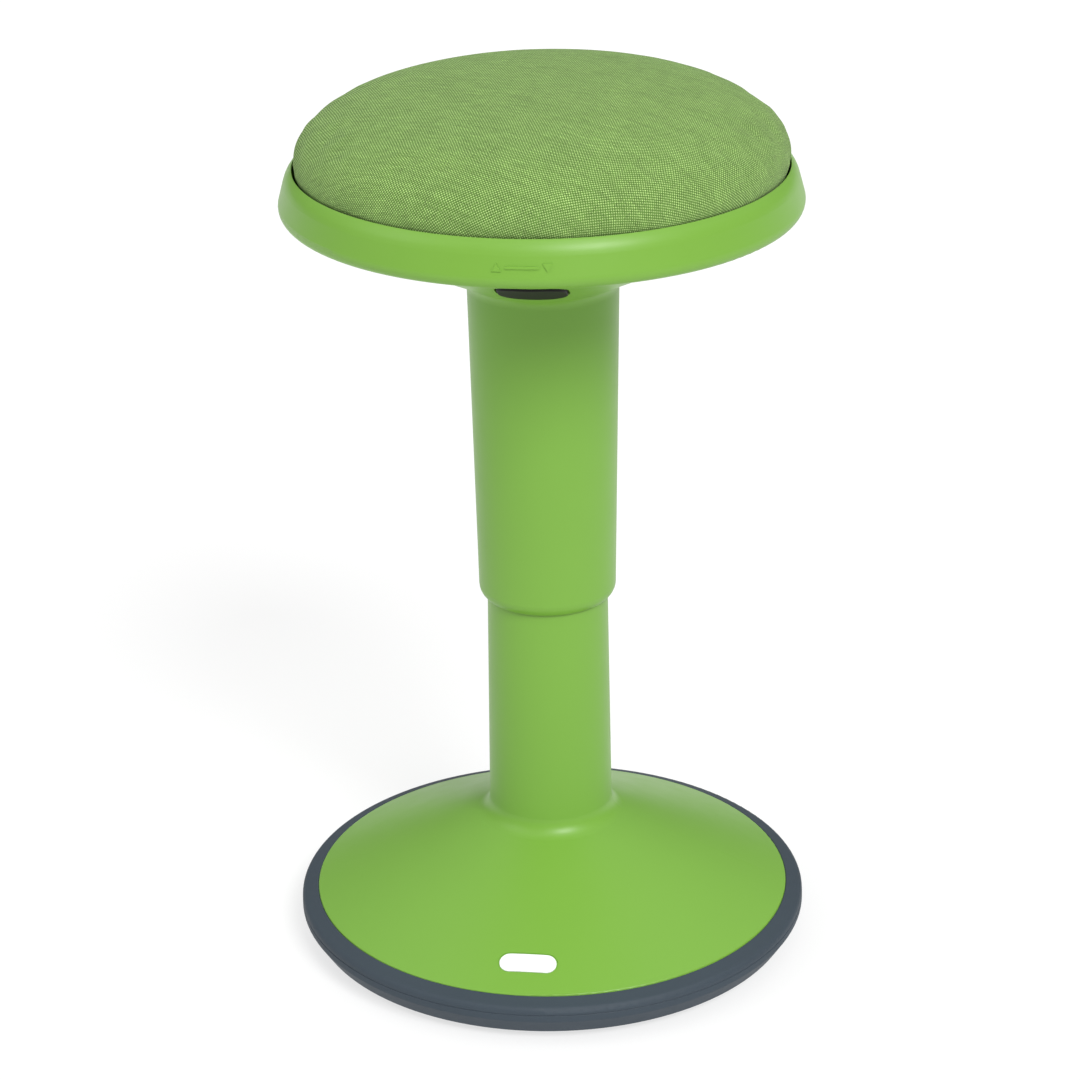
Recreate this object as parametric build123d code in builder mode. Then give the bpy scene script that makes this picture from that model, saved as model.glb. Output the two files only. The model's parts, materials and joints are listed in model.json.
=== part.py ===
from build123d import *
import os
from math import atan, cos, pi, radians, sin, tan

# Height-adjustable wobble stool. Millimetres, +Z up, origin on the floor under the column,
# front towards -Y. Drawn with the gas lift fully out, so the seat is at its highest.

# ---- driving dimensions ------------------------------------------------------------------
wall = 3.0                     # moulded plastic wall
running = 0.05                 # radial running clearance of a shaft in its bush
gap = 0.3                      # clearance between plain curved faces of different bodies

# Base: rubber rocker sole under a moulded cone and column.
foot_r = 75.0                  # the sole is flat inside this radius and rocks outside it
rocker_radius = 553.0          # radius of the rocking surface
bumper_top = (170.2, 27.1)     # the sole's bumper: upper edge, groove and lower edge
bumper_groove = (170.4, 22.6)
groove_depth = 0.5
bumper_low = (170.5, 18.2)
sole_side_r = 163.2            # where the bumper's lower side meets the rocking surface
sole_thick = 6.0
dish_thick = 4.0
cover_r = 28.0                 # access hole in the middle of the underside
skirt_r = 159.2                # where the plastic cone meets the rubber
skirt_top_z = 31.1
cone_slope = tan(radians(25.2))
column_low_r = 41.24           # column radius where it meets the cone
column_top_r = 39.0
column_top_z = 300.0
column_fillet = 13.0
cone_drop = 3.6 / cos(atan(cone_slope))

# Seat: sleeve, trumpet underside and lipped pan in one moulding.
sleeve_low_z = 244.0
sleeve_low_r = 44.85
sleeve_curl_z = 3.3            # height of the curled-in lower edge
sleeve_bore_r = column_low_r + gap
flare_r = 48.5                 # where the sleeve's line meets the underside's line
flare_z = 460.4
flare_slope = tan(radians(26.1))
flare_fillet = 9.0
ease_r = 118.0                 # the underside flattens outside this radius
rim_corner = (166.2, 509.5)    # sharp corner of the rim before rounding
rim_fillet = 6.5
pan_corner = (162.4, 511.7)    # the same corner inside the pan
lip_shoulder = (160.0, 532.3)  # sharp corner where the lip turns in to its top edge
lip_fillet = 18.0
lip_top_z = 537.0
lip_bore_r = 155.4
lip_bevel = 1.2                # bevel between the lip's top edge and its bore
symbol_z = 521.5
symbol_proud = 0.7

# Cushion.
board_r = 150.0
board_z = 511.0
board_thick = 10.0
cushion_r = 154.8
cushion_side_z = 539.5
cushion_top_z = 590.6
crown_power = 2.3              # 2 is an ellipse, more is squarer
cover_thick = 1.5
hem_r = 124.0

# Gas lift.
tube_r = 25.0
tube_wall = 2.0
tube_low_z = 12.0
tube_low_r = 24.0
tube_taper_z = 72.0
tube_floor = 3.0
tube_top_z = 262.0
bush_low_z = 190.0
bush_flange = 2.0
cylinder_r = 14.0
cylinder_bore_r = 12.5
cylinder_low_z = 175.0
cylinder_taper_z = 446.0
cylinder_top_z = 480.0
cylinder_tip_r = 13.15
cylinder_plug_z = 448.0
guide_top_z = 195.0
seal_top_z = 199.0
rod_r = 5.0
rod_low_z = 8.5
rod_top_z = 215.0
spindle_r = 4.0                # thinner lower end of the rod, inside the thrust bearing
groove_r = 3.2
clip_thick = 1.0
piston_low_z = 203.0
race_r = 12.0
race_thick = 1.5
ball_r = 1.45
ball_gap = 0.05
ball_count = 14
ball_circle_r = 8.6
bumper_r = 11.0
bumper_height = 10.0
valve_r = 8.0
valve_top_z = 482.0
valve_pin_r = 2.5
valve_pin_low_z = 450.0
valve_pin_top_z = 487.4

# Mounting plate, bracket and release lever.
plate_z = 478.0
plate_thick = 3.0
plate_r = 62.0
hub_r = 22.0
plate_screw_r = 54.0
plate_post_r = 5.5
bracket_thick = 2.0
pivot_y = -28.0
pivot_z = 489.0
pivot_pin_r = 2.5
barrel_r = 4.5
lever_width = 16.0
lever_thick = 2.5
lever_side_gap = 0.4
button_y = -88.0
button_size = (42.5, 37.0)
button_corner = 12.0
button_gap = 1.5
button_proud = 1.4
button_thick = 8.0
button_flange = 3.0

# Fasteners and badge.
base_screw_r = 122.0
base_screw_core_r = 1.8
socket_bolt_r = 48.0
socket_bolt_core_r = 2.4
socket_r = 30.0
socket_flange_r = 58.0
socket_flange_z = 20.0
socket_flange_thick = 4.0
cushion_screw_r = 104.0
cushion_screw_core_r = 3.0
cushion_head_z = 503.2
staple_r = 132.0
badge_r = 137.0
badge_size = (37.0, 13.5)
badge_azimuth = -2.6           # degrees that the badge sits to the left of the front
badge_depth = 0.5

quarter_turns = dict(count=4, start_angle=45)
eighth_turns = dict(count=8, start_angle=22.5)


# ---- shared outlines ---------------------------------------------------------------------
def section(outline):
    """Half section in the XZ plane: each point is a radius, a height and a corner radius."""
    with BuildSketch(Plane.XZ) as face:
        with BuildLine():
            FilletPolyline(
                *[(r, z) for r, z, corner in outline],
                radius=[corner for r, z, corner in outline],
                close=True,
            )
        make_face()
    return face.sketch


def ring(inner_r, outer_r, low_z, high_z):
    """Half section of a plain ring or disc."""
    return section([(inner_r, low_z, 0), (outer_r, low_z, 0), (outer_r, high_z, 0), (inner_r, high_z, 0)])


def rocking_line(outer_r, height, steps=5):
    """Points parallel to the rocking surface, from outer_r in to the flat foot."""
    stride = (outer_r - foot_r) / steps
    radii = [outer_r - k * stride for k in range(steps + 1)]
    return [(r, height + (r - foot_r) ** 2 / (2 * rocker_radius), 0) for r in radii]


def cone_z(r):
    """Height of the base cone's outer face."""
    return skirt_top_z + (skirt_r - r) * cone_slope


def flare_height(r):
    """Height of the seat's underside between the sleeve and where it eases."""
    return flare_z + (r - flare_r) * flare_slope


def sloped_band(height, low, high, inner_r, outer_r):
    """Half section of the skin between two offsets over a conical face."""
    return section(
        [(inner_r, height(inner_r) + low, 0), (outer_r, height(outer_r) + low, 0)]
        + [(outer_r, height(outer_r) + high, 0), (inner_r, height(inner_r) + high, 0)]
    )


def write(piece, name):
    """Label a finished piece and write its file."""
    piece.part.label = name
    export_step(piece.part, f"parts/{name}.step")


os.makedirs("parts", exist_ok=True)

# ---- base: sole, dish and shell ----------------------------------------------------------
dish_under = rocking_line(skirt_r, sole_thick)
dish_upper = rocking_line(skirt_r, sole_thick + dish_thick)

with BuildPart() as rocker_sole:
    revolve(
        section(
            [(skirt_r, skirt_top_z, 0.8), (*bumper_top, 4)]
            + [(bumper_groove[0], bumper_groove[1] + groove_depth, 0)]
            + [(bumper_groove[0] - groove_depth, bumper_groove[1], 0)]
            + [(bumper_groove[0], bumper_groove[1] - groove_depth, 0), (*bumper_low, 3)]
            + rocking_line(sole_side_r, 0)
            + [(cover_r, 0, 1.5), (cover_r, sole_thick, 0)]
            + dish_under[::-1]
        ),
        axis=Axis.Z,
    )
write(rocker_sole, "rocker_sole")

base_head_z = dish_under[2][1] + 0.4
base_head_height = 2.0
base_head_r = 4.0
with BuildPart() as base_dish:
    revolve(
        section(
            dish_under
            + [(cover_r, sole_thick, 0), (cover_r, sole_thick + dish_thick, 0)]
            + dish_upper[::-1]
        ),
        axis=Axis.Z,
    )
    with BuildSketch():
        with PolarLocations(base_screw_r, **eighth_turns):
            Circle(base_screw_core_r + 0.3)
        with PolarLocations(socket_bolt_r, **quarter_turns):
            Circle(6.5)
    extrude(amount=cone_z(base_screw_r), mode=Mode.SUBTRACT)
    with BuildSketch():
        with PolarLocations(base_screw_r, **eighth_turns):
            Circle(base_head_r + 0.2)
    extrude(amount=base_head_z + base_head_height, mode=Mode.SUBTRACT)
write(base_dish, "base_dish")

with BuildPart() as base_hollow:
    inner_r = column_low_r - wall
    revolve(
        section(
            [(0, 0, 0), (skirt_r - wall, 0, 0)]
            + [(skirt_r - wall, cone_z(skirt_r - wall) - cone_drop, 1.5)]
            + [(inner_r, cone_z(inner_r) - cone_drop, 10)]
            + [(column_top_r - wall, column_top_z, 0), (0, column_top_z, 0)]
        ),
        axis=Axis.Z,
    )
    with BuildSketch():
        with PolarLocations((skirt_r + 44) / 2, 12):
            Rectangle(skirt_r - 44, wall)
        with PolarLocations(base_screw_r, **eighth_turns):
            Circle(5.5)
        with PolarLocations(socket_bolt_r, **quarter_turns):
            Circle(7.5)
    extrude(amount=cone_z(column_low_r), mode=Mode.SUBTRACT)
    with BuildSketch():
        Circle(socket_flange_r + 1)
    extrude(amount=socket_flange_z + socket_flange_thick)

badge_normal = (0, -sin(atan(cone_slope)), cos(atan(cone_slope)))
badge_plane = Plane(origin=(0, -badge_r, cone_z(badge_r)), x_dir=(1, 0, 0), z_dir=badge_normal)
badge_turn = Rotation(0, 0, badge_azimuth)
badge_inner_r = badge_r - badge_size[1]
badge_outer_r = badge_r + badge_size[1]

with BuildPart() as badge_recess:
    revolve(sloped_band(cone_z, -badge_depth, wall, badge_inner_r, badge_outer_r), axis=Axis.Z)
    with BuildSketch(badge_plane):
        SlotOverall(badge_size[0] + 2, badge_size[1] + 2)
    extrude(amount=badge_size[1], both=True, mode=Mode.INTERSECT)

with BuildPart() as badge_blank:
    revolve(sloped_band(cone_z, -badge_depth, 0.3, badge_inner_r, badge_outer_r), axis=Axis.Z)
    with BuildSketch(badge_plane):
        SlotOverall(*badge_size)
    extrude(amount=badge_size[1], both=True, mode=Mode.INTERSECT)

with BuildPart() as base_shell:
    revolve(
        section(
            [(skirt_r, skirt_top_z, 1.2)]
            + dish_upper
            + [(cover_r + 2, sole_thick + dish_thick, 0), (cover_r + 2, column_top_z, 0)]
            + [(column_top_r, column_top_z, 1.5)]
            + [(column_low_r, cone_z(column_low_r), column_fillet)]
        ),
        axis=Axis.Z,
    )
    add(base_hollow.part, mode=Mode.SUBTRACT)
    with BuildSketch():
        with PolarLocations(base_screw_r, **eighth_turns):
            Circle(base_screw_core_r)
    extrude(amount=cone_z(base_screw_r) - 8, mode=Mode.SUBTRACT)
    with BuildSketch():
        with PolarLocations(socket_bolt_r, **quarter_turns):
            Circle(socket_bolt_core_r)
    extrude(amount=cone_z(socket_bolt_r) - 15, mode=Mode.SUBTRACT)
    add(badge_turn * badge_recess.part, mode=Mode.SUBTRACT)
write(base_shell, "base_shell")

with BuildPart() as badge_plate:
    add(badge_turn * badge_blank.part)
write(badge_plate, "badge_plate")

with BuildPart() as centre_cover:
    revolve(
        section(
            [(0, 3.5, 0), (cover_r - 0.2, 3.5, 1), (cover_r - 0.2, sole_thick + dish_thick, 0.5)]
            + [(cover_r - 2.7, sole_thick + dish_thick, 0), (cover_r - 2.7, sole_thick, 1)]
            + [(0, sole_thick, 0)]
        ),
        axis=Axis.Z,
    )
write(centre_cover, "centre_cover")

with BuildPart() as base_screws:
    with BuildSketch(Plane.XY.offset(base_head_z)):
        with PolarLocations(base_screw_r, **eighth_turns):
            Circle(base_head_r)
    extrude(amount=base_head_height)
    with BuildSketch(Plane.XY.offset(base_head_z + base_head_height)):
        with PolarLocations(base_screw_r, **eighth_turns):
            Circle(base_screw_core_r)
    extrude(amount=20)
write(base_screws, "base_screws")

# ---- base: socket, tube, bush and spacer -------------------------------------------------
def tube_outer_r(z):
    """Outer radius of the outer tube's taper."""
    return tube_low_r + (tube_r - tube_low_r) * (z - tube_low_z) / (tube_taper_z - tube_low_z)


socket_low_z = 14.0
socket_top_z = 64.0
with BuildPart() as hub_socket:
    revolve(
        section(
            [(tube_outer_r(socket_low_z), socket_low_z, 0), (socket_r, socket_low_z, 1)]
            + [(socket_r, socket_flange_z, 0), (socket_flange_r, socket_flange_z, 0)]
            + [(socket_flange_r, socket_flange_z + socket_flange_thick, 0)]
            + [(socket_r, socket_flange_z + socket_flange_thick, 2.5), (socket_r, socket_top_z, 1)]
            + [(tube_outer_r(socket_top_z), socket_top_z, 0)]
        ),
        axis=Axis.Z,
    )
    with BuildSketch():
        with PolarLocations(socket_bolt_r, **quarter_turns):
            Circle(socket_bolt_core_r + 0.3)
    extrude(amount=socket_top_z, mode=Mode.SUBTRACT)
write(hub_socket, "hub_socket")

with BuildPart() as socket_bolts:
    with BuildSketch(Plane.XY.offset(socket_flange_z)):
        with PolarLocations(socket_bolt_r, **quarter_turns):
            RegularPolygon(4.6, 6)
    extrude(amount=-3.5)
    with BuildSketch(Plane.XY.offset(socket_flange_z)):
        with PolarLocations(socket_bolt_r, **quarter_turns):
            Circle(socket_bolt_core_r)
    extrude(amount=40)
write(socket_bolts, "socket_bolts")

tube_floor_z = tube_low_z + tube_floor
tube_bore_r = tube_r - tube_wall
with BuildPart() as column_tube:
    revolve(
        section(
            [(spindle_r + running, tube_low_z, 0), (tube_low_r, tube_low_z, 0), (tube_r, tube_taper_z, 0)]
            + [(tube_r, tube_top_z, 0), (tube_bore_r, tube_top_z, 0), (tube_bore_r, tube_floor_z, 0)]
            + [(spindle_r + running, tube_floor_z, 0)]
        ),
        axis=Axis.Z,
    )
write(column_tube, "column_tube")

bush_bore_r = cylinder_r + running
with BuildPart() as guide_bush:
    revolve(
        section(
            [(bush_bore_r, bush_low_z, 1), (tube_bore_r, bush_low_z, 1), (tube_bore_r, tube_top_z, 0)]
            + [(tube_r, tube_top_z, 0), (tube_r, tube_top_z + bush_flange, 0.8)]
            + [(bush_bore_r, tube_top_z + bush_flange, 0.8)]
        ),
        axis=Axis.Z,
    )
write(guide_bush, "guide_bush")

spacer_low_z = 236.0
spacer_top_z = 248.0
spacer_r = 36.4
with BuildPart() as column_spacer:
    revolve(ring(tube_r, spacer_r, spacer_low_z, spacer_top_z), axis=Axis.Z)
    with BuildSketch(Plane.XY.offset(spacer_low_z)):
        with PolarLocations((tube_r + spacer_r) / 2, 8):
            Circle(3.6)
    extrude(amount=spacer_top_z - spacer_low_z, mode=Mode.SUBTRACT)
write(column_spacer, "column_spacer")

# ---- thrust bearing ----------------------------------------------------------------------
lower_race_top_z = tube_floor_z + race_thick
ball_z = lower_race_top_z + ball_gap + ball_r
upper_race_z = ball_z + ball_r + ball_gap
shoulder_z = upper_race_z + race_thick
cage_thick = 1.2

with BuildPart() as lower_race:
    revolve(ring(spindle_r + gap, race_r, tube_floor_z, lower_race_top_z), axis=Axis.Z)
write(lower_race, "lower_race")

with BuildPart() as upper_race:
    revolve(ring(spindle_r, race_r, upper_race_z, shoulder_z), axis=Axis.Z)
write(upper_race, "upper_race")

with BuildPart() as bearing_balls:
    with Locations((0, 0, ball_z)):
        with PolarLocations(ball_circle_r, ball_count):
            Sphere(ball_r)
write(bearing_balls, "bearing_balls")

with BuildPart() as bearing_cage:
    revolve(
        ring(spindle_r + 2, race_r - 1, ball_z - cage_thick / 2, ball_z + cage_thick / 2),
        axis=Axis.Z,
    )
    with BuildSketch(Plane.XY.offset(ball_z - cage_thick / 2)):
        with PolarLocations(ball_circle_r, ball_count):
            Circle(ball_r + ball_gap)
    extrude(amount=cage_thick, mode=Mode.SUBTRACT)
write(bearing_cage, "bearing_cage")

# ---- rod, piston and what turns with them ------------------------------------------------
clip_top_z = tube_low_z - 0.1 - clip_thick
clip_low_z = clip_top_z - clip_thick
with BuildPart() as piston_rod:
    revolve(
        section(
            [(0, rod_low_z, 0), (spindle_r, rod_low_z, 0.5), (spindle_r, clip_low_z, 0)]
            + [(groove_r, clip_low_z, 0), (groove_r, clip_top_z, 0), (spindle_r, clip_top_z, 0)]
            + [(spindle_r, shoulder_z, 0), (rod_r, shoulder_z, 0), (rod_r, rod_top_z, 0.5)]
            + [(0, rod_top_z, 0)]
        ),
        axis=Axis.Z,
    )
write(piston_rod, "piston_rod")

with BuildPart() as clip_washer:
    revolve(ring(spindle_r, 9, clip_top_z, clip_top_z + clip_thick), axis=Axis.Z)
write(clip_washer, "clip_washer")

with BuildPart() as retaining_clip:
    revolve(ring(groove_r, 6.8, clip_low_z, clip_top_z), axis=Axis.Z)
    with BuildSketch(Plane.XY.offset(clip_low_z)):
        with Locations((0, -5)):
            Rectangle(4.4, 10)
    extrude(amount=clip_thick, mode=Mode.SUBTRACT)
write(retaining_clip, "retaining_clip")

with BuildPart() as stop_bumper:
    bumper_top_z = shoulder_z + bumper_height
    revolve(
        section(
            [(rod_r, shoulder_z, 0), (bumper_r, shoulder_z, 1.5), (bumper_r, bumper_top_z, 2.5)]
            + [(rod_r, bumper_top_z, 0)]
        ),
        axis=Axis.Z,
    )
write(stop_bumper, "stop_bumper")

piston_r = cylinder_bore_r - running
ring_groove_r = 10.5
ring_low_z = 207.5
ring_top_z = 210.5
with BuildPart() as piston:
    revolve(
        section(
            [(rod_r, piston_low_z, 0), (piston_r, piston_low_z, 0.8), (piston_r, ring_low_z, 0)]
            + [(ring_groove_r, ring_low_z, 0), (ring_groove_r, ring_top_z, 0), (piston_r, ring_top_z, 0)]
            + [(piston_r, rod_top_z, 0.8), (rod_r, rod_top_z, 0)]
        ),
        axis=Axis.Z,
    )
write(piston, "piston")

with BuildPart() as piston_ring:
    revolve(ring(ring_groove_r, piston_r, ring_low_z, ring_top_z), axis=Axis.Z)
write(piston_ring, "piston_ring")

# ---- cylinder and valve ------------------------------------------------------------------
with BuildPart() as gas_cylinder:
    revolve(
        section(
            [(cylinder_bore_r, cylinder_low_z, 0), (cylinder_r, cylinder_low_z, 0.8)]
            + [(cylinder_r, cylinder_taper_z, 0), (cylinder_tip_r, cylinder_top_z, 0)]
            + [(valve_r, cylinder_top_z, 0), (valve_r, cylinder_plug_z, 0)]
            + [(cylinder_bore_r, cylinder_plug_z, 0)]
        ),
        axis=Axis.Z,
    )
write(gas_cylinder, "gas_cylinder")

with BuildPart() as rod_guide:
    revolve(ring(rod_r + running, cylinder_bore_r, cylinder_low_z, guide_top_z), axis=Axis.Z)
write(rod_guide, "rod_guide")

with BuildPart() as rod_seal:
    revolve(ring(rod_r + running, cylinder_bore_r, guide_top_z, seal_top_z), axis=Axis.Z)
write(rod_seal, "rod_seal")

with BuildPart() as valve_body:
    valve_bore_r = valve_pin_r + running
    revolve(
        section(
            [(valve_bore_r, cylinder_plug_z, 0), (valve_r, cylinder_plug_z, 0)]
            + [(valve_r, cylinder_top_z, 0), (valve_r + 2.5, cylinder_top_z, 0)]
            + [(valve_r + 2.5, valve_top_z, 0.6), (valve_bore_r, valve_top_z, 0.6)]
        ),
        axis=Axis.Z,
    )
write(valve_body, "valve_body")

with BuildPart() as valve_pin:
    revolve(
        section(
            [(0, valve_pin_low_z, 0), (valve_pin_r, valve_pin_low_z, 0.4)]
            + [(valve_pin_r, valve_pin_top_z, 1.4), (0, valve_pin_top_z, 0)]
        ),
        axis=Axis.Z,
    )
write(valve_pin, "valve_pin")

# ---- seat shell --------------------------------------------------------------------------
cushion_boss_r = 8.0
rib_inner_r = 66.0
rib_outer_r = 160.0
rib_top_z = board_z - cover_thick - 0.1
sleeve_inner_r = flare_r - wall
pan_slope_up = wall / cos(atan(flare_slope))

with BuildPart() as seat_hollow:
    revolve(
        section(
            [(0, sleeve_low_z, 0), (sleeve_bore_r, sleeve_low_z, 0)]
            + [(sleeve_low_r - wall, sleeve_low_z + sleeve_curl_z, 0)]
            + [(sleeve_inner_r, flare_height(sleeve_inner_r) + pan_slope_up, 6)]
            + [(ease_r, flare_height(ease_r) + pan_slope_up, 40), (*pan_corner, rim_fillet - wall)]
            + [(lip_bore_r, lip_top_z - lip_bevel, 0), (lip_bore_r + lip_bevel / 2, lip_top_z, 0)]
            + [(0, lip_top_z, 0)]
        ),
        axis=Axis.Z,
    )
    with BuildSketch(Plane.XY.offset(rib_top_z)):
        with PolarLocations((rib_inner_r + rib_outer_r) / 2, 11, -60, 300, endpoint=True):
            Rectangle(rib_outer_r - rib_inner_r, wall)
    extrude(amount=flare_z - rib_top_z, mode=Mode.SUBTRACT)
    with BuildSketch(Plane.XY.offset(board_z)):
        with PolarLocations(cushion_screw_r, **quarter_turns):
            Circle(cushion_boss_r)
    extrude(amount=flare_z - board_z, mode=Mode.SUBTRACT)
    with BuildSketch(Plane.XY.offset(plate_z)):
        with PolarLocations(plate_screw_r, **quarter_turns):
            Circle(plate_post_r)
    extrude(amount=flare_z - plate_z, mode=Mode.SUBTRACT)

with BuildPart() as lip_symbol:
    revolve(
        section(
            [(rim_corner[0] - 4, rim_corner[1], 0), (rim_corner[0] + symbol_proud, rim_corner[1], 0)]
            + [(lip_shoulder[0] + symbol_proud, lip_shoulder[1], 0)]
            + [(lip_shoulder[0] - 2, lip_shoulder[1], 0)]
        ),
        axis=Axis.Z,
    )
    with BuildSketch(Plane.XZ):
        with Locations((0, symbol_z)):
            SlotOverall(20, 1.6)
        with Locations((-15, symbol_z)):
            Polygon((-3, -2.3), (3, -2.3), (0, 2.3), align=None)
        with Locations((15, symbol_z)):
            Polygon((-3, 2.3), (0, -2.3), (3, 2.3), align=None)
    extrude(amount=rim_corner[0] + 5, mode=Mode.INTERSECT)

plate_screw_core_r = 2.5
plate_screw_low_z = 467.0
with BuildPart() as seat_shell:
    revolve(
        section(
            [(0, sleeve_low_z, 0), (sleeve_bore_r, sleeve_low_z, 0)]
            + [(sleeve_low_r, sleeve_low_z + sleeve_curl_z, 9), (flare_r, flare_z, flare_fillet)]
            + [(ease_r, flare_height(ease_r), 40), (*rim_corner, rim_fillet)]
            + [(*lip_shoulder, lip_fillet), (lip_bore_r, lip_top_z, 0), (0, lip_top_z, 0)]
        ),
        axis=Axis.Z,
    )
    add(seat_hollow.part, mode=Mode.SUBTRACT)
    with BuildSketch(Plane.XY.offset(flare_z)):
        with Locations((0, button_y)):
            RectangleRounded(
                button_size[0] + 2 * button_gap, button_size[1] + 2 * button_gap, button_corner + button_gap
            )
    extrude(amount=board_z - flare_z, mode=Mode.SUBTRACT)
    with BuildSketch(Plane.XY.offset(flare_z)):
        with PolarLocations(cushion_screw_r, **quarter_turns):
            Circle(6.2)
    extrude(amount=cushion_head_z - flare_z, mode=Mode.SUBTRACT)
    with BuildSketch(Plane.XY.offset(flare_z)):
        with PolarLocations(cushion_screw_r, **quarter_turns):
            Circle(cushion_screw_core_r + 0.3)
    extrude(amount=board_z - flare_z, mode=Mode.SUBTRACT)
    with BuildSketch(Plane.XY.offset(plate_screw_low_z)):
        with PolarLocations(plate_screw_r, **quarter_turns):
            Circle(plate_screw_core_r)
    extrude(amount=plate_z - plate_screw_low_z, mode=Mode.SUBTRACT)
    add(lip_symbol.part)
write(seat_shell, "seat_shell")

# ---- mounting plate and its screws -------------------------------------------------------
plate_top_z = plate_z + plate_thick
bracket_top_z = plate_top_z + bracket_thick
bracket_screw_core_r = 1.6
bracket_screw_low_z = plate_z - 4
bracket_screw_ys = [-19.0, -42.0]

with BuildPart() as mount_plate:
    revolve(
        section(
            [(cylinder_r, cylinder_taper_z, 0), (hub_r, cylinder_taper_z, 1), (hub_r, plate_z, 3)]
            + [(plate_r, plate_z, 0), (plate_r, plate_top_z, 0.8), (cylinder_tip_r, plate_top_z, 0)]
            + [(cylinder_tip_r, cylinder_top_z, 0)]
        ),
        axis=Axis.Z,
    )
    with BuildSketch(Plane.XY.offset(plate_z)):
        with PolarLocations(plate_screw_r, **quarter_turns):
            Circle(plate_screw_core_r + 0.5)
    extrude(amount=plate_thick, mode=Mode.SUBTRACT)
    with BuildSketch(Plane.XY.offset(bracket_screw_low_z)):
        with Locations(*[(0, y) for y in bracket_screw_ys]):
            Circle(bracket_screw_core_r)
    extrude(amount=plate_top_z - bracket_screw_low_z, mode=Mode.SUBTRACT)
write(mount_plate, "mount_plate")

with BuildPart() as mount_screws:
    with BuildSketch(Plane.XY.offset(plate_screw_low_z)):
        with PolarLocations(plate_screw_r, **quarter_turns):
            Circle(plate_screw_core_r)
    extrude(amount=plate_top_z - plate_screw_low_z)
    with BuildSketch(Plane.XY.offset(plate_top_z)):
        with PolarLocations(plate_screw_r, **quarter_turns):
            Circle(4.8)
            RegularPolygon(2.3, 6, mode=Mode.SUBTRACT)
    extrude(amount=3.2)
write(mount_screws, "mount_screws")

ear_x = lever_width / 2 + lever_side_gap
ear_top_z = pivot_z + 6
with BuildPart() as lever_bracket:
    with BuildSketch(Plane.XY.offset(plate_top_z)):
        with Locations((0, -30.75)):
            Rectangle(2 * (ear_x + bracket_thick), 32.5)
    extrude(amount=bracket_thick)
    with BuildSketch(Plane.YZ):
        with Locations((pivot_y, (plate_top_z + ear_top_z) / 2)):
            RectangleRounded(16, ear_top_z - plate_top_z, 1.5)
    extrude(amount=ear_x + bracket_thick, both=True)
    with BuildSketch(Plane.YZ):
        with Locations((pivot_y, (bracket_top_z + ear_top_z) / 2 + 1)):
            Rectangle(17, ear_top_z - bracket_top_z + 2)
    extrude(amount=ear_x, both=True, mode=Mode.SUBTRACT)
    with BuildSketch(Plane.YZ):
        with Locations((pivot_y, pivot_z)):
            Circle(pivot_pin_r)
    extrude(amount=ear_x + bracket_thick, both=True, mode=Mode.SUBTRACT)
    with BuildSketch(Plane.XY.offset(plate_top_z)):
        with Locations(*[(0, y) for y in bracket_screw_ys]):
            Circle(bracket_screw_core_r)
    extrude(amount=bracket_thick, mode=Mode.SUBTRACT)
write(lever_bracket, "lever_bracket")

with BuildPart() as bracket_screws:
    with BuildSketch(Plane.XY.offset(bracket_screw_low_z)):
        with Locations(*[(0, y) for y in bracket_screw_ys]):
            Circle(bracket_screw_core_r)
    extrude(amount=bracket_top_z - bracket_screw_low_z)
    with BuildSketch(Plane.XY.offset(bracket_top_z)):
        with Locations(*[(0, y) for y in bracket_screw_ys]):
            Circle(3)
    extrude(amount=1.2)
write(bracket_screws, "bracket_screws")

# ---- lever, its pin and the lift button --------------------------------------------------
pin_end_x = ear_x + bracket_thick
with BuildPart() as lever_pin:
    with BuildSketch(Plane.YZ.offset(-pin_end_x)):
        with Locations((pivot_y, pivot_z)):
            Circle(pivot_pin_r)
    extrude(amount=2 * pin_end_x + 2)
    with BuildSketch(Plane.YZ.offset(-pin_end_x)):
        with Locations((pivot_y, pivot_z)):
            Circle(pivot_pin_r + 1.6)
    extrude(amount=-1.6)
    with BuildSketch(Plane.YZ.offset(pin_end_x + 0.2)):
        with Locations((pivot_y, pivot_z)):
            Circle(pivot_pin_r)
            Circle(pivot_pin_r - 0.6, mode=Mode.SUBTRACT)
    extrude(amount=0.8, mode=Mode.SUBTRACT)
write(lever_pin, "lever_pin")

with BuildPart() as pin_clip:
    with BuildSketch(Plane.YZ.offset(pin_end_x + 0.2)):
        with Locations((pivot_y, pivot_z)):
            Circle(pivot_pin_r + 2)
            Circle(pivot_pin_r - 0.6, mode=Mode.SUBTRACT)
        with Locations((pivot_y, pivot_z - pivot_pin_r - 1)):
            Rectangle(2.6, 2 * pivot_pin_r, mode=Mode.SUBTRACT)
    extrude(amount=0.8)
write(pin_clip, "pin_clip")

button_back = button_thick - button_proud
button_inner_r = -button_y - button_size[1]
button_outer_r = -button_y + button_size[1]
lever_lift = button_back + 0.4 + lever_thick / 2 / cos(atan(flare_slope))
lever_elbow_y = -70.0
lever_end_y = -100.0

with BuildPart() as lever_blank:
    with BuildSketch(Plane.YZ):
        with BuildLine():
            FilletPolyline(
                (8, pivot_z),
                (-56, pivot_z),
                (lever_elbow_y, flare_height(-lever_elbow_y) + lever_lift),
                (lever_end_y, flare_height(-lever_end_y) + lever_lift),
                radius=[5, 5],
            )
        trace(line_width=lever_thick)
        with Locations((pivot_y, pivot_z)):
            Circle(barrel_r)
            Circle(pivot_pin_r + running, mode=Mode.SUBTRACT)
    extrude(amount=lever_width / 2, both=True)

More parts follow.
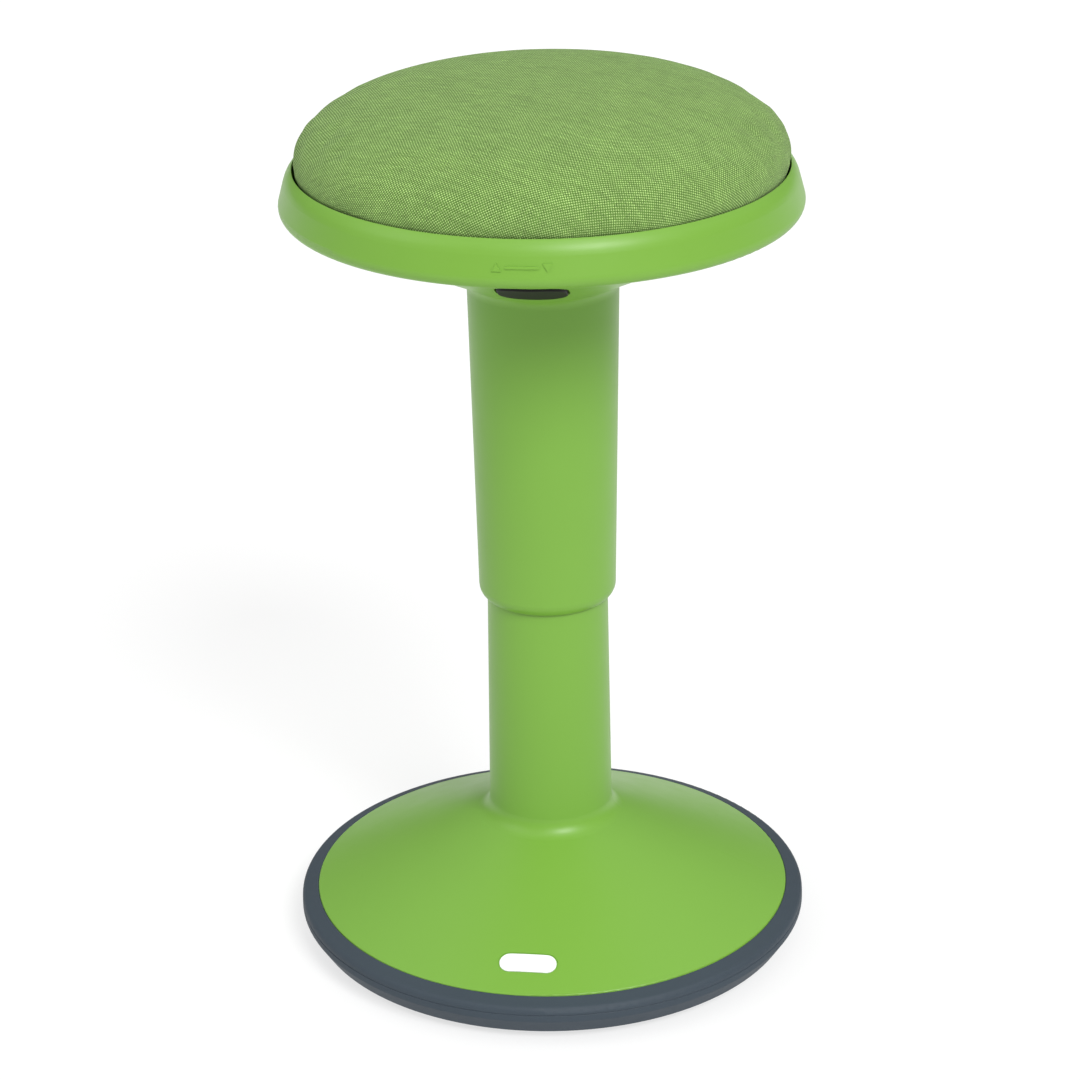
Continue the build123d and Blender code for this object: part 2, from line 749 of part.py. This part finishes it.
button_screw_ys = [-79.0, -94.0]
lever_normal = (0, sin(atan(flare_slope)), cos(atan(flare_slope)))
screw_planes = [
    Plane(origin=(0, y, flare_height(-y) + lever_lift), x_dir=(1, 0, 0), z_dir=lever_normal)
    for y in button_screw_ys
]
with BuildPart() as button_screws:
    for plane in screw_planes:
        with BuildSketch(plane.offset(lever_thick / 2)):
            Circle(2.9)
        extrude(amount=1.6)
        with BuildSketch(plane.offset(lever_thick / 2)):
            Circle(1.5)
        extrude(amount=-lever_thick - 4)
write(button_screws, "button_screws")

with BuildPart() as release_lever:
    add(lever_blank.part)
    add(button_screws.part, mode=Mode.SUBTRACT)
write(release_lever, "release_lever")

with BuildPart() as button_face:
    revolve(
        sloped_band(flare_height, -button_proud, button_back, button_inner_r, button_outer_r),
        axis=Axis.Z,
    )
    with BuildSketch(Plane.XY.offset(sleeve_low_z)):
        with Locations((0, button_y)):
            RectangleRounded(*button_size, button_corner)
    extrude(amount=board_z - sleeve_low_z, mode=Mode.INTERSECT)
    fillet(button_face.edges().group_by(Axis.Z)[0], 0.8)

with BuildPart() as lift_button:
    revolve(
        sloped_band(flare_height, pan_slope_up + 0.4, button_back, button_inner_r, button_outer_r),
        axis=Axis.Z,
    )
    with BuildSketch(Plane.XY.offset(sleeve_low_z)):
        with Locations((0, button_y)):
            RectangleRounded(
                button_size[0] + 2 * (button_gap + button_flange),
                button_size[1] + 2 * (button_gap + button_flange),
                button_corner + button_gap + button_flange,
            )
    extrude(amount=board_z - sleeve_low_z, mode=Mode.INTERSECT)
    add(button_face.part)
    add(button_screws.part, mode=Mode.SUBTRACT)
write(lift_button, "lift_button")

# ---- cushion -----------------------------------------------------------------------------
board_top_z = board_z + board_thick
nut_flange = 1.2
nut_barrel_r = 4.2
with BuildPart() as cushion_board:
    revolve(
        section(
            [(0, board_z, 0), (board_r, board_z, 1.5), (board_r, board_top_z, 3), (0, board_top_z, 0)]
        ),
        axis=Axis.Z,
    )
    with BuildSketch(Plane.XY.offset(board_z)):
        with PolarLocations(cushion_screw_r, **quarter_turns):
            Circle(nut_barrel_r)
    extrude(amount=board_thick, mode=Mode.SUBTRACT)
    with BuildSketch(Plane.XY.offset(board_top_z)):
        with PolarLocations(cushion_screw_r, **quarter_turns):
            Circle(9)
    extrude(amount=-nut_flange, mode=Mode.SUBTRACT)
write(cushion_board, "cushion_board")

with BuildPart() as board_nuts:
    with BuildSketch(Plane.XY.offset(board_top_z)):
        with PolarLocations(cushion_screw_r, **quarter_turns):
            Circle(9)
            Circle(cushion_screw_core_r, mode=Mode.SUBTRACT)
    extrude(amount=-nut_flange)
    with BuildSketch(Plane.XY.offset(board_z + 1)):
        with PolarLocations(cushion_screw_r, **quarter_turns):
            Circle(nut_barrel_r)
            Circle(cushion_screw_core_r, mode=Mode.SUBTRACT)
    extrude(amount=board_thick - 1)
write(board_nuts, "board_nuts")

with BuildPart() as cushion_screws:
    with BuildSketch(Plane.XY.offset(cushion_head_z)):
        with PolarLocations(cushion_screw_r, **quarter_turns):
            Circle(5.2)
            RegularPolygon(2.9, 6, mode=Mode.SUBTRACT)
    extrude(amount=-3.8)
    with BuildSketch(Plane.XY.offset(cushion_head_z)):
        with PolarLocations(cushion_screw_r, **quarter_turns):
            Circle(cushion_screw_core_r)
    extrude(amount=board_top_z - 1.5 - cushion_head_z)
write(cushion_screws, "cushion_screws")


def crown(inset, steps=10):
    """Points of the cushion's crown, from the axis out to its widest circle."""
    side_r = cushion_r - inset
    height = cushion_top_z - inset - cushion_side_z
    turns = [pi / 2 * k / steps for k in range(steps + 1)]
    bend = 2 / crown_power
    return [(side_r * sin(t) ** bend, cushion_side_z + height * abs(cos(t)) ** bend) for t in turns]


with BuildPart() as cushion_foam:
    with BuildSketch(Plane.XZ):
        with BuildLine():
            points = crown(cover_thick)
            top = Spline(*points, tangents=[(1, 0), (0, -1)])
            Polyline(top @ 1, (points[-1][0], board_top_z), (0, board_top_z), top @ 0)
        make_face()
    revolve(axis=Axis.Z)
write(cushion_foam, "cushion_foam")

with BuildPart() as cushion_cover:
    with BuildSketch(Plane.XZ):
        with BuildLine():
            outside = Spline(*crown(0), tangents=[(1, 0), (0, -1)])
            inside = Spline(*crown(cover_thick), tangents=[(1, 0), (0, -1)])
            hem_z = board_z - cover_thick
            Polyline(outside @ 1, (cushion_r, hem_z), (hem_r, hem_z), (hem_r, board_z))
            Polyline((hem_r, board_z), (cushion_r - cover_thick, board_z), inside @ 1)
            Line(outside @ 0, inside @ 0)
        make_face()
    revolve(axis=Axis.Z)
write(cushion_cover, "cushion_cover")

staple_crown = (1.0, 10.0, 0.7)
staple_leg = 6.0
with BuildPart() as cover_staples:
    hem_z = board_z - cover_thick
    with BuildSketch(Plane.XY.offset(hem_z)):
        with PolarLocations(staple_r, 24, start_angle=7.5):
            Rectangle(staple_crown[0], staple_crown[1])
    extrude(amount=-staple_crown[2])
    with BuildSketch(Plane.XY.offset(hem_z)):
        with PolarLocations(staple_r, 24, start_angle=7.5):
            with Locations((0, 4.5), (0, -4.5)):
                Rectangle(staple_crown[0], 1)
    extrude(amount=staple_leg)
write(cover_staples, "cover_staples")
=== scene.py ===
import json
import math

import bmesh
import bpy
from mathutils import Matrix, Vector


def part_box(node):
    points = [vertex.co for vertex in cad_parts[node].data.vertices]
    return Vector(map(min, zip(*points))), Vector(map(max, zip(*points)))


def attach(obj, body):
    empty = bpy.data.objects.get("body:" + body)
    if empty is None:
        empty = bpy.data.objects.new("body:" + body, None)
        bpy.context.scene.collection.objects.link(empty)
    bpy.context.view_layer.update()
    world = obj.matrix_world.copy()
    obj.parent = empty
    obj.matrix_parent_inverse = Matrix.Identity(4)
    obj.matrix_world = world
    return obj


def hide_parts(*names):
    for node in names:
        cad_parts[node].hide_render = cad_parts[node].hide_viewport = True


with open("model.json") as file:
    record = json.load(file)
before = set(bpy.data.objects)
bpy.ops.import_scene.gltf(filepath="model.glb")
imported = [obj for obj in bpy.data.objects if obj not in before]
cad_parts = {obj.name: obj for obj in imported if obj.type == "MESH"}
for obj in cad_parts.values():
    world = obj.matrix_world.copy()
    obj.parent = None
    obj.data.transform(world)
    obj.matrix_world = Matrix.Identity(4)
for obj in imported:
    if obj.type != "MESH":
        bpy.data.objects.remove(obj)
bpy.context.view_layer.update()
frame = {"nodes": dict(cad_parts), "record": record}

# Height-adjustable wobble stool. Metres, +Z up, front towards -Y, origin on the floor.

MM = 0.001
CLOTH_UV = "cloth"
CROWN_POWER = 2.3  # 2 is an ellipse, more is squarer


# ---- camera ------------------------------------------------------------------------------
def make_camera():
    """The viewpoint: a long lens, above the seat and a little to the right, rolled slightly."""
    azimuth = math.radians(4.3)  # from the front towards +X
    pitch = math.radians(-23.3)
    yaw = -0.0023
    roll = -0.0163
    distance, height = 1.9812, 1.1329
    across = Matrix.Rotation(azimuth - yaw, 3, "Z")
    right = across @ Vector((1, 0, 0))
    forward = across @ Vector((0, math.cos(pitch), math.sin(pitch)))
    up = right.cross(forward)
    image_right = math.cos(roll) * right + math.sin(roll) * up
    image_up = -math.sin(roll) * right + math.cos(roll) * up
    camera = bpy.data.objects.new("camera", bpy.data.cameras.new("camera"))
    bpy.context.scene.collection.objects.link(camera)
    turn = Matrix((image_right, image_up, -forward)).transposed()
    place = Vector((distance * math.sin(azimuth), -distance * math.cos(azimuth), height))
    camera.matrix_world = Matrix.Translation(place) @ turn.to_4x4()
    camera.data.lens = 110
    camera.data.sensor_width = 36
    bpy.context.scene.camera = camera


make_camera()


# ---- node helpers ------------------------------------------------------------------------
class Shader:
    """One procedural material under construction."""

    def __init__(self, name):
        self.material = bpy.data.materials.new(name)
        self.material.use_nodes = True
        self.tree = self.material.node_tree
        self.surface = self.tree.nodes["Principled BSDF"]

    def node(self, kind, settings=None, **inputs):
        made = self.tree.nodes.new("ShaderNode" + kind)
        for key, value in (settings or {}).items():
            setattr(made, key, value)
        for key, value in inputs.items():
            self.feed(made, key.replace("_", " "), value)
        return made

    def feed(self, made, key, value):
        socket = made.inputs[int(key) if key.isdigit() else key]
        if isinstance(value, bpy.types.NodeSocket):
            self.tree.links.new(value, socket)
        else:
            socket.default_value = value

    def math(self, operation, first, second=0.0):
        made = self.node("Math", {"operation": operation})
        self.feed(made, "0", first)
        self.feed(made, "1", second)
        return made.outputs[0]

    def place(self):
        return self.node("TexCoord").outputs["Object"]

    def speckle(self, scale, detail=2.0, roughness=0.5, vector=None):
        made = self.node("TexNoise", Scale=scale, Detail=detail, Roughness=roughness)
        self.feed(made, "Vector", vector or self.place())
        return made.outputs["Fac"]

    def span(self, value, low, high, start=0.0, end=1.0):
        """Map a value that runs from start to end onto low to high."""
        made = self.node("MapRange", Value=value, From_Min=start, From_Max=end, To_Min=low, To_Max=high)
        return made.outputs[0]

    def tint(self, factor, dark, light):
        made = self.node("Mix", {"data_type": "RGBA"})
        self.tree.links.new(factor, made.inputs[0])
        made.inputs[6].default_value = (*dark, 1)
        made.inputs[7].default_value = (*light, 1)
        return made.outputs[2]

    def bump(self, height, distance, strength=1.0):
        made = self.node("Bump", Strength=strength, Distance=distance, Height=height)
        return made.outputs["Normal"]

    def finish(self, **inputs):
        for key, value in inputs.items():
            self.feed(self.surface, key.replace("_", " "), value)
        return self.material


def shade(colour, factor):
    return tuple(min(1.0, c * factor) for c in colour)


def moulded_plastic(name, colour, roughness, depth=0.01 * MM, clouding=0.03, ior=1.43):
    """Injection-moulded plastic with a fine spark-eroded grain."""
    grain = 0.35 * MM
    s = Shader(name)
    cloud = s.speckle(9, 3)
    fine = s.speckle(1 / grain, 3, 0.6)
    flow = s.speckle(60, 2)
    return s.finish(
        Base_Color=s.tint(cloud, shade(colour, 1 - clouding), shade(colour, 1 + clouding)),
        Roughness=s.span(flow, roughness - 0.04, roughness + 0.04),
        Normal=s.bump(fine, depth),
        IOR=ior,
    )


def rubber(name, colour):
    """Moulded rubber: dull, with a fine skin and faint bloom."""
    roughness = 0.62
    s = Shader(name)
    bloom = s.speckle(24, 4, 0.6)
    fine = s.speckle(1900, 3, 0.6)
    return s.finish(
        Base_Color=s.tint(bloom, shade(colour, 0.93), shade(colour, 1.07)),
        Roughness=s.span(s.speckle(130, 3), roughness - 0.06, roughness + 0.06),
        Normal=s.bump(fine, 0.02 * MM),
        IOR=1.38,
    )


def metal(name, colour, roughness, brushed=0.0, coated=False):
    """Turned, plated or painted steel."""
    s = Shader(name)
    place = s.node("Mapping", Scale=(1, 1, 14 if brushed else 1))
    s.feed(place, "Vector", s.place())
    fine = s.speckle(700, 4, 0.6, place.outputs[0])
    return s.finish(
        Base_Color=s.tint(s.speckle(40, 3), shade(colour, 0.92), shade(colour, 1.06)),
        Roughness=s.span(fine, max(0.04, roughness - 0.07), roughness + 0.09),
        Normal=s.bump(fine, 0.01 * MM + brushed * MM),
        Metallic=0.0 if coated else 1.0,
    )


def plywood(name):
    """Birch plywood: plies show on the edge, grain on the faces."""
    s = Shader(name)
    stretch = s.node("Mapping", Scale=(14, 160, 600))
    s.feed(stretch, "Vector", s.place())
    grain = s.speckle(1, 5, 0.65, stretch.outputs[0])
    plies = s.node("TexWave", {"bands_direction": "Z"}, Scale=190, Distortion=0.6)
    s.feed(plies, "Vector", s.place())
    mixed = s.math("MULTIPLY", s.math("ADD", grain, plies.outputs["Fac"]), 0.5)
    return s.finish(
        Base_Color=s.tint(mixed, (0.42, 0.27, 0.14), (0.72, 0.55, 0.35)),
        Roughness=s.span(grain, 0.6, 0.8),
        Normal=s.bump(grain, 0.1 * MM),
    )


def foam(name):
    """Open-cell seat foam, with painted shade in its cell hollows."""
    s = Shader(name)
    cells = s.node("TexVoronoi", Scale=900)
    s.feed(cells, "Vector", s.place())
    height = cells.outputs["Distance"]
    # The cell hollows are painted darker than the cell walls: painted shade in the hollows.
    return s.finish(
        Base_Color=s.tint(height, (0.50, 0.44, 0.30), (0.80, 0.75, 0.58)),
        Roughness=s.span(height, 0.85, 0.95),
        Normal=s.bump(height, 0.4 * MM),
    )


def woven_fabric(name, weft, warp):
    """Plain weave of a pale warp and a darker weft, read from the cloth's own UVs in metres."""
    pitch = 1.05 * MM
    bias = math.radians(62)  # the warp's angle to the seat's sideways line
    wander_depth = 2.2 * MM  # how far the yarns stray from straight lines
    crossing_power = 0.4  # below 1, a yarn stays high until close to where it dives
    slub_length = 0.045  # slubs are longer than wide by the inverse of this
    s = Shader(name)
    uv = s.node("UVMap", {"uv_map": CLOTH_UV}).outputs[0]
    wander = s.node("TexNoise", Scale=30, Detail=1.0, Vector=uv)
    drift = s.node("VectorMath", {"operation": "SCALE"}, Vector=wander.outputs["Color"], Scale=wander_depth)
    shifted = s.node("VectorMath", {"operation": "ADD"})
    s.feed(shifted, "0", uv)
    s.feed(shifted, "1", drift.outputs[0])
    turned = s.node("Mapping", Rotation=(0, 0, -bias), Scale=(1 / pitch, 1 / pitch, 1))
    s.feed(turned, "Vector", shifted.outputs[0])
    axes = s.node("SeparateXYZ", Vector=turned.outputs[0])
    u, v = axes.outputs["X"], axes.outputs["Y"]
    column, row = s.math("FLOOR", u), s.math("FLOOR", v)
    warp_on_top = s.math("FLOORED_MODULO", s.math("ADD", column, row), 2.0)

    def blend(factor, first, second):
        """Value of first where factor is 0 and second where it is 1."""
        made = s.node("Mix", {"data_type": "FLOAT"})
        for socket, value in zip((0, 2, 3), (factor, first, second)):
            s.tree.links.new(value, made.inputs[socket])
        return made.outputs[0]

    def swell(across):
        """Round section of a yarn, 0 at its edges and 1 in its middle."""
        return s.math("ABSOLUTE", s.math("SINE", s.math("MULTIPLY", across, math.pi)))

    def yarn_tone(yarn, along, seed):
        """Slub and melange tone, long along the yarn and different on each one."""
        spot = s.node("CombineXYZ", X=yarn, Y=s.math("MULTIPLY", along, slub_length), Z=seed)
        return s.speckle(1.9, 2.0, 0.6, spot.outputs[0])

    across_u, across_v = swell(u), swell(v)
    warp_height = s.math("MULTIPLY", across_u, s.math("POWER", across_v, crossing_power))
    weft_height = s.math("MULTIPLY", across_v, s.math("POWER", across_u, crossing_power))
    height = blend(warp_on_top, weft_height, warp_height)
    slub = blend(warp_on_top, yarn_tone(row, u, 9.0), yarn_tone(column, v, 3.0))
    fluff = s.speckle(2400, vector=uv)
    tone = s.math("ADD", s.math("MULTIPLY", slub, 0.65), s.math("MULTIPLY", fluff, 0.30))
    tone = s.math("ADD", tone, s.math("MULTIPLY", s.speckle(26, 3.0, vector=uv), 0.12))
    lift = s.span(tone, 0.53, 1.35, start=0.30, end=0.77)
    # Darker where the yarns dip under each other: painted shade between the yarns.
    painted_pit_shade = s.span(height, 0.45, 1.1)
    shaded = s.node("VectorMath", {"operation": "SCALE"}, Vector=s.tint(warp_on_top, weft, warp))
    s.feed(shaded, "Scale", s.math("MULTIPLY", lift, painted_pit_shade))
    relief = s.math("ADD", height, s.math("MULTIPLY", fluff, 0.3))
    return s.finish(
        Base_Color=shaded.outputs[0],
        Roughness=s.span(fluff, 0.82, 0.94),
        Normal=s.bump(relief, 0.3 * MM, 0.7),
        Sheen_Weight=0.05,
        Sheen_Roughness=0.5,
        IOR=1.35,
    )


# ---- materials by slot -------------------------------------------------------------------
GREEN = (0.178, 0.385, 0.046)
materials = {
    "green_plastic": moulded_plastic("green_plastic", GREEN, 0.38),
    "charcoal_plastic": moulded_plastic("charcoal_plastic", (0.010, 0.009, 0.009), 0.6, ior=1.27),
    "black_plastic": moulded_plastic("black_plastic", (0.018, 0.018, 0.019), 0.5),
    "white_plastic": moulded_plastic(
        "white_plastic", (0.88, 0.89, 0.90), 0.3, depth=0.004 * MM, clouding=0.01
    ),
    "white_nylon": moulded_plastic("white_nylon", (0.78, 0.77, 0.72), 0.45),
    "grey_rubber": rubber("grey_rubber", (0.041, 0.057, 0.074)),
    "black_rubber": rubber("black_rubber", (0.016, 0.016, 0.017)),
    "green_fabric": woven_fabric("green_fabric", (0.116, 0.258, 0.037), (0.405, 0.615, 0.195)),
    "foam": foam("foam"),
    "plywood": plywood("plywood"),
    "black_steel": metal("black_steel", (0.02, 0.02, 0.021), 0.42, coated=True),
    "zinc_steel": metal("zinc_steel", (0.62, 0.63, 0.61), 0.32, brushed=0.01),
    "polished_steel": metal("polished_steel", (0.66, 0.66, 0.66), 0.15),
    "chrome_cylinder": metal("chrome_cylinder", (0.72, 0.72, 0.73), 0.10),
    "aluminium_piston": metal("aluminium_piston", (0.80, 0.80, 0.81), 0.28, brushed=0.01),
    "brass_cage": metal("brass_cage", (0.75, 0.55, 0.24), 0.25),
}


def dress_frame():
    """Each CAD node gets its slot's procedural material."""
    for part in frame["record"]["subparts"]:
        node = frame["nodes"][part["node"]]
        node.data.materials.clear()
        node.data.materials.append(materials[part["material_slot"]])


dress_frame()


# ---- cushion -----------------------------------------------------------------------------
def place_mesh(name, verts, faces):
    mesh = bpy.data.meshes.new(name)
    mesh.from_pydata(verts, [], faces)
    mesh.update()
    mesh.shade_smooth()
    made = bpy.data.objects.new(name, mesh)
    bpy.context.scene.collection.objects.link(made)
    return made


def crown_height(r, side_r, side_z, top_z):
    """Height of the cushion's crown at a radius."""
    share = min(1.0, r / side_r)
    return side_z + (top_z - side_z) * (1 - share**CROWN_POWER) ** (1 / CROWN_POWER)


def cushion_outline(side_r, side_z, top_z, hem_z):
    """Skin of the padded seat from the crown's middle out and down its side, tucked in towards the hem."""
    crown_steps, side_steps = 44, 10
    tuck = 8 * MM
    tuck_power = 0.8  # below 1, the side turns in early
    points = []
    for k in range(1, crown_steps + 1):
        r = side_r * math.sin(math.pi / 2 * k / crown_steps)
        points.append((r, crown_height(r, side_r, side_z, top_z)))
    for k in range(1, side_steps + 1):
        t = k / side_steps
        r = side_r - tuck * math.sin(math.pi / 2 * t) ** tuck_power
        points.append((r, side_z + (hem_z - side_z) * t))
    return points


def lathe(name, outline, top_z):
    """Closed form spun from an outline that runs from near the axis out and down."""
    segments = 160
    verts = [(0, 0, top_z)]
    for r, z in outline:
        for k in range(segments):
            a = 2 * math.pi * k / segments
            verts.append((r * math.cos(a), r * math.sin(a), z))
    faces = [(0, 1 + k, 1 + (k + 1) % segments) for k in range(segments)]
    for row in range(len(outline) - 1):
        for k in range(segments):
            a, b = 1 + row * segments + k, 1 + row * segments + (k + 1) % segments
            faces.append((a, a + segments, b + segments, b))
    last = 1 + (len(outline) - 1) * segments
    faces.append(tuple(last + k for k in reversed(range(segments))))
    return place_mesh(name, verts, faces)


def apply_modifiers(piece):
    """Replace a piece's mesh with its evaluated mesh."""
    graph = bpy.context.evaluated_depsgraph_get()
    mesh = bpy.data.meshes.new_from_object(piece.evaluated_get(graph))
    piece.modifiers.clear()
    piece.data = mesh


def swell_cloth(piece, pinned, cap):
    """Blow the piece up as cloth, holding its pinned points; no other point moves as far as the cap."""
    pressure, last_frame = 4.0, 20
    group = piece.vertex_groups.new(name="pinned")
    group.add([v.index for v in piece.data.vertices if pinned(v.co)], 1.0, "REPLACE")
    start = [v.co.copy() for v in piece.data.vertices]
    cloth = piece.modifiers.new("cloth", "CLOTH")
    cloth.settings.use_pressure = True
    cloth.settings.uniform_pressure_force = pressure
    cloth.settings.vertex_group_mass = "pinned"
    cloth.settings.effector_weights.gravity = 0
    cloth.point_cache.frame_start, cloth.point_cache.frame_end = 1, last_frame
    scene = bpy.context.scene
    for frame_number in range(1, last_frame + 1):
        scene.frame_set(frame_number)
    apply_modifiers(piece)
    scene.frame_set(1)
    for vert, was in zip(piece.data.vertices, start):
        move = vert.co - was
        vert.co = was + move * (cap / (cap + move.length))


def make_cushion():
    """The padded seat: a turned form, remeshed evenly, opened under the board and blown up as cloth."""
    low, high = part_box("cushion_cover")
    side_r = high.x
    side_z = 539.5 * MM
    hem_z = low.z + 0.4 * MM
    start_inset = 1.9 * MM  # the cloth rises by this much
    shoulder_draw = 1.6 * MM  # the remesh and the smoothing pull the shoulder in by this much
    board_r = 126 * MM
    pinned_z = 536 * MM
    outline = cushion_outline(side_r + shoulder_draw, side_z, high.z - start_inset, hem_z)
    piece = lathe("seat_cushion", outline, high.z - start_inset)
    remesh = piece.modifiers.new("voxels", "REMESH")
    remesh.mode = "VOXEL"
    remesh.voxel_size = 5 * MM
    apply_modifiers(piece)
    skin = bmesh.new()
    skin.from_mesh(piece.data)
    under = []
    for face in skin.faces:
        middle = face.calc_center_median()
        if middle.z < hem_z + 2 * MM and middle.xy.length < board_r:
            under.append(face)
    bmesh.ops.delete(skin, geom=under, context="FACES")
    skin.to_mesh(piece.data)
    skin.free()
    swell_cloth(piece, lambda co: co.z < pinned_z, cap=3 * MM)
    smooth = piece.modifiers.new("smooth", "SUBSURF")
    smooth.levels = smooth.render_levels = 1
    apply_modifiers(piece)
    piece.data.shade_smooth()
    return piece, side_r, side_z, high.z


def lay_cloth_uvs(piece, side_r, side_z, top_z):
    """UVs in metres that run true along every line from the crown's middle down to the hem."""
    steps = 400
    middle_r = 1e-5  # nearer the axis than this, a point counts as the crown's middle
    radii = [side_r * math.sin(math.pi / 2 * k / steps) for k in range(steps + 1)]
    heights = [crown_height(r, side_r, side_z, top_z) for r in radii]
    lengths = [0.0]
    for k in range(steps):
        lengths.append(lengths[-1] + math.hypot(radii[k + 1] - radii[k], heights[k + 1] - heights[k]))

    def length_at(r, z):
        """Length along the skin from the crown's middle to a point on or near it."""
        if z <= side_z:
            return lengths[-1] + side_z - z
        angle = math.atan2((z - side_z) / (top_z - side_z), r / side_r)
        flat = math.cos(angle) / (
            math.cos(angle) ** CROWN_POWER + math.sin(angle) ** CROWN_POWER
        ) ** (1 / CROWN_POWER)
        spot = math.asin(min(1.0, flat)) / (math.pi / 2) * steps
        k = min(steps - 1, int(spot))
        return lengths[k] + (lengths[k + 1] - lengths[k]) * (spot - k)

    layer = piece.data.uv_layers.new(name=CLOTH_UV)
    spots = []
    for vert in piece.data.vertices:
        x, y, z = vert.co
        r = math.hypot(x, y)
        stretch = length_at(r, z) / r if r > middle_r else 1.0
        spots.append((x * stretch, y * stretch))
    for loop in piece.data.loops:
        layer.data[loop.index].uv = spots[loop.vertex_index]


def set_askew(piece, shift, tilt, centre):
    """The padded seat sits a hair off true in its pan."""
    turn = Matrix.Translation(centre) @ Matrix.Rotation(tilt, 4, "Y") @ Matrix.Translation(-centre)
    piece.data.transform(Matrix.Translation(shift) @ turn)


cushion, cushion_side_r, cushion_side_z, cushion_top_z = make_cushion()
lay_cloth_uvs(cushion, cushion_side_r, cushion_side_z, cushion_top_z)
set_askew(cushion, Vector((0.55 * MM, 0, 0)), math.radians(-0.43), Vector((0, 0, cushion_side_z)))
cushion.data.materials.append(materials["green_fabric"])
thick = cushion.modifiers.new("cloth_thickness", "SOLIDIFY")
thick.thickness = 1.1 * MM
thick.offset = -1
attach(cushion, "seat")
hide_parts("cushion_cover", "cushion_foam")


# ---- floor and light ---------------------------------------------------------------------
def make_floor():
    """A pale floor lit from within like a light table, so that shadows on it stay faint."""
    half = 300
    corners = [(-half, -half, 0), (half, -half, 0), (half, half, 0), (-half, half, 0)]
    floor = place_mesh("floor", corners, [(0, 1, 2, 3)])
    s = Shader("floor")
    s.finish(
        Base_Color=s.tint(s.speckle(3), (0.29, 0.29, 0.29), (0.31, 0.31, 0.31)),
        Roughness=0.9,
        Emission_Color=(1, 1, 1, 1),
        Emission_Strength=0.68,
    )
    floor.data.materials.append(s.material)


def make_sun(name, azimuth, elevation, strength, spread):
    """A broad soft lamp, far off; azimuth is measured from the front towards +X."""
    light = bpy.data.lights.new(name, "SUN")
    light.energy = strength
    light.angle = math.radians(spread)
    lamp = bpy.data.objects.new(name, light)
    bpy.context.scene.collection.objects.link(lamp)
    a, e = math.radians(azimuth), math.radians(elevation)
    towards = Vector((math.sin(a) * math.cos(e), -math.cos(a) * math.cos(e), math.sin(e)))
    lamp.rotation_euler = towards.to_track_quat("Z", "Y").to_euler()


def make_world(horizon, zenith):
    """Studio surround, brighter overhead."""
    world = bpy.data.worlds.new("studio")
    bpy.context.scene.world = world
    world.use_nodes = True
    tree = world.node_tree
    place = tree.nodes.new("ShaderNodeTexCoord")
    axes = tree.nodes.new("ShaderNodeSeparateXYZ")
    rise = tree.nodes.new("ShaderNodeMapRange")
    rise.inputs["From Min"].default_value = 0.0
    rise.inputs["From Max"].default_value = 1.0
    rise.inputs["To Min"].default_value = horizon
    rise.inputs["To Max"].default_value = zenith
    tree.links.new(place.outputs["Generated"], axes.inputs[0])
    tree.links.new(axes.outputs["Z"], rise.inputs["Value"])
    tree.links.new(rise.outputs[0], tree.nodes["Background"].inputs["Strength"])
    tree.nodes["Background"].inputs["Color"].default_value = (1, 1, 1, 1)


make_floor()
make_world(horizon=0.0, zenith=1.04)
make_sun("key", azimuth=30, elevation=42, strength=2.25, spread=24)
make_sun("side", azimuth=-70, elevation=36, strength=0.4, spread=34)
bpy.context.scene.view_settings.view_transform = "Standard"
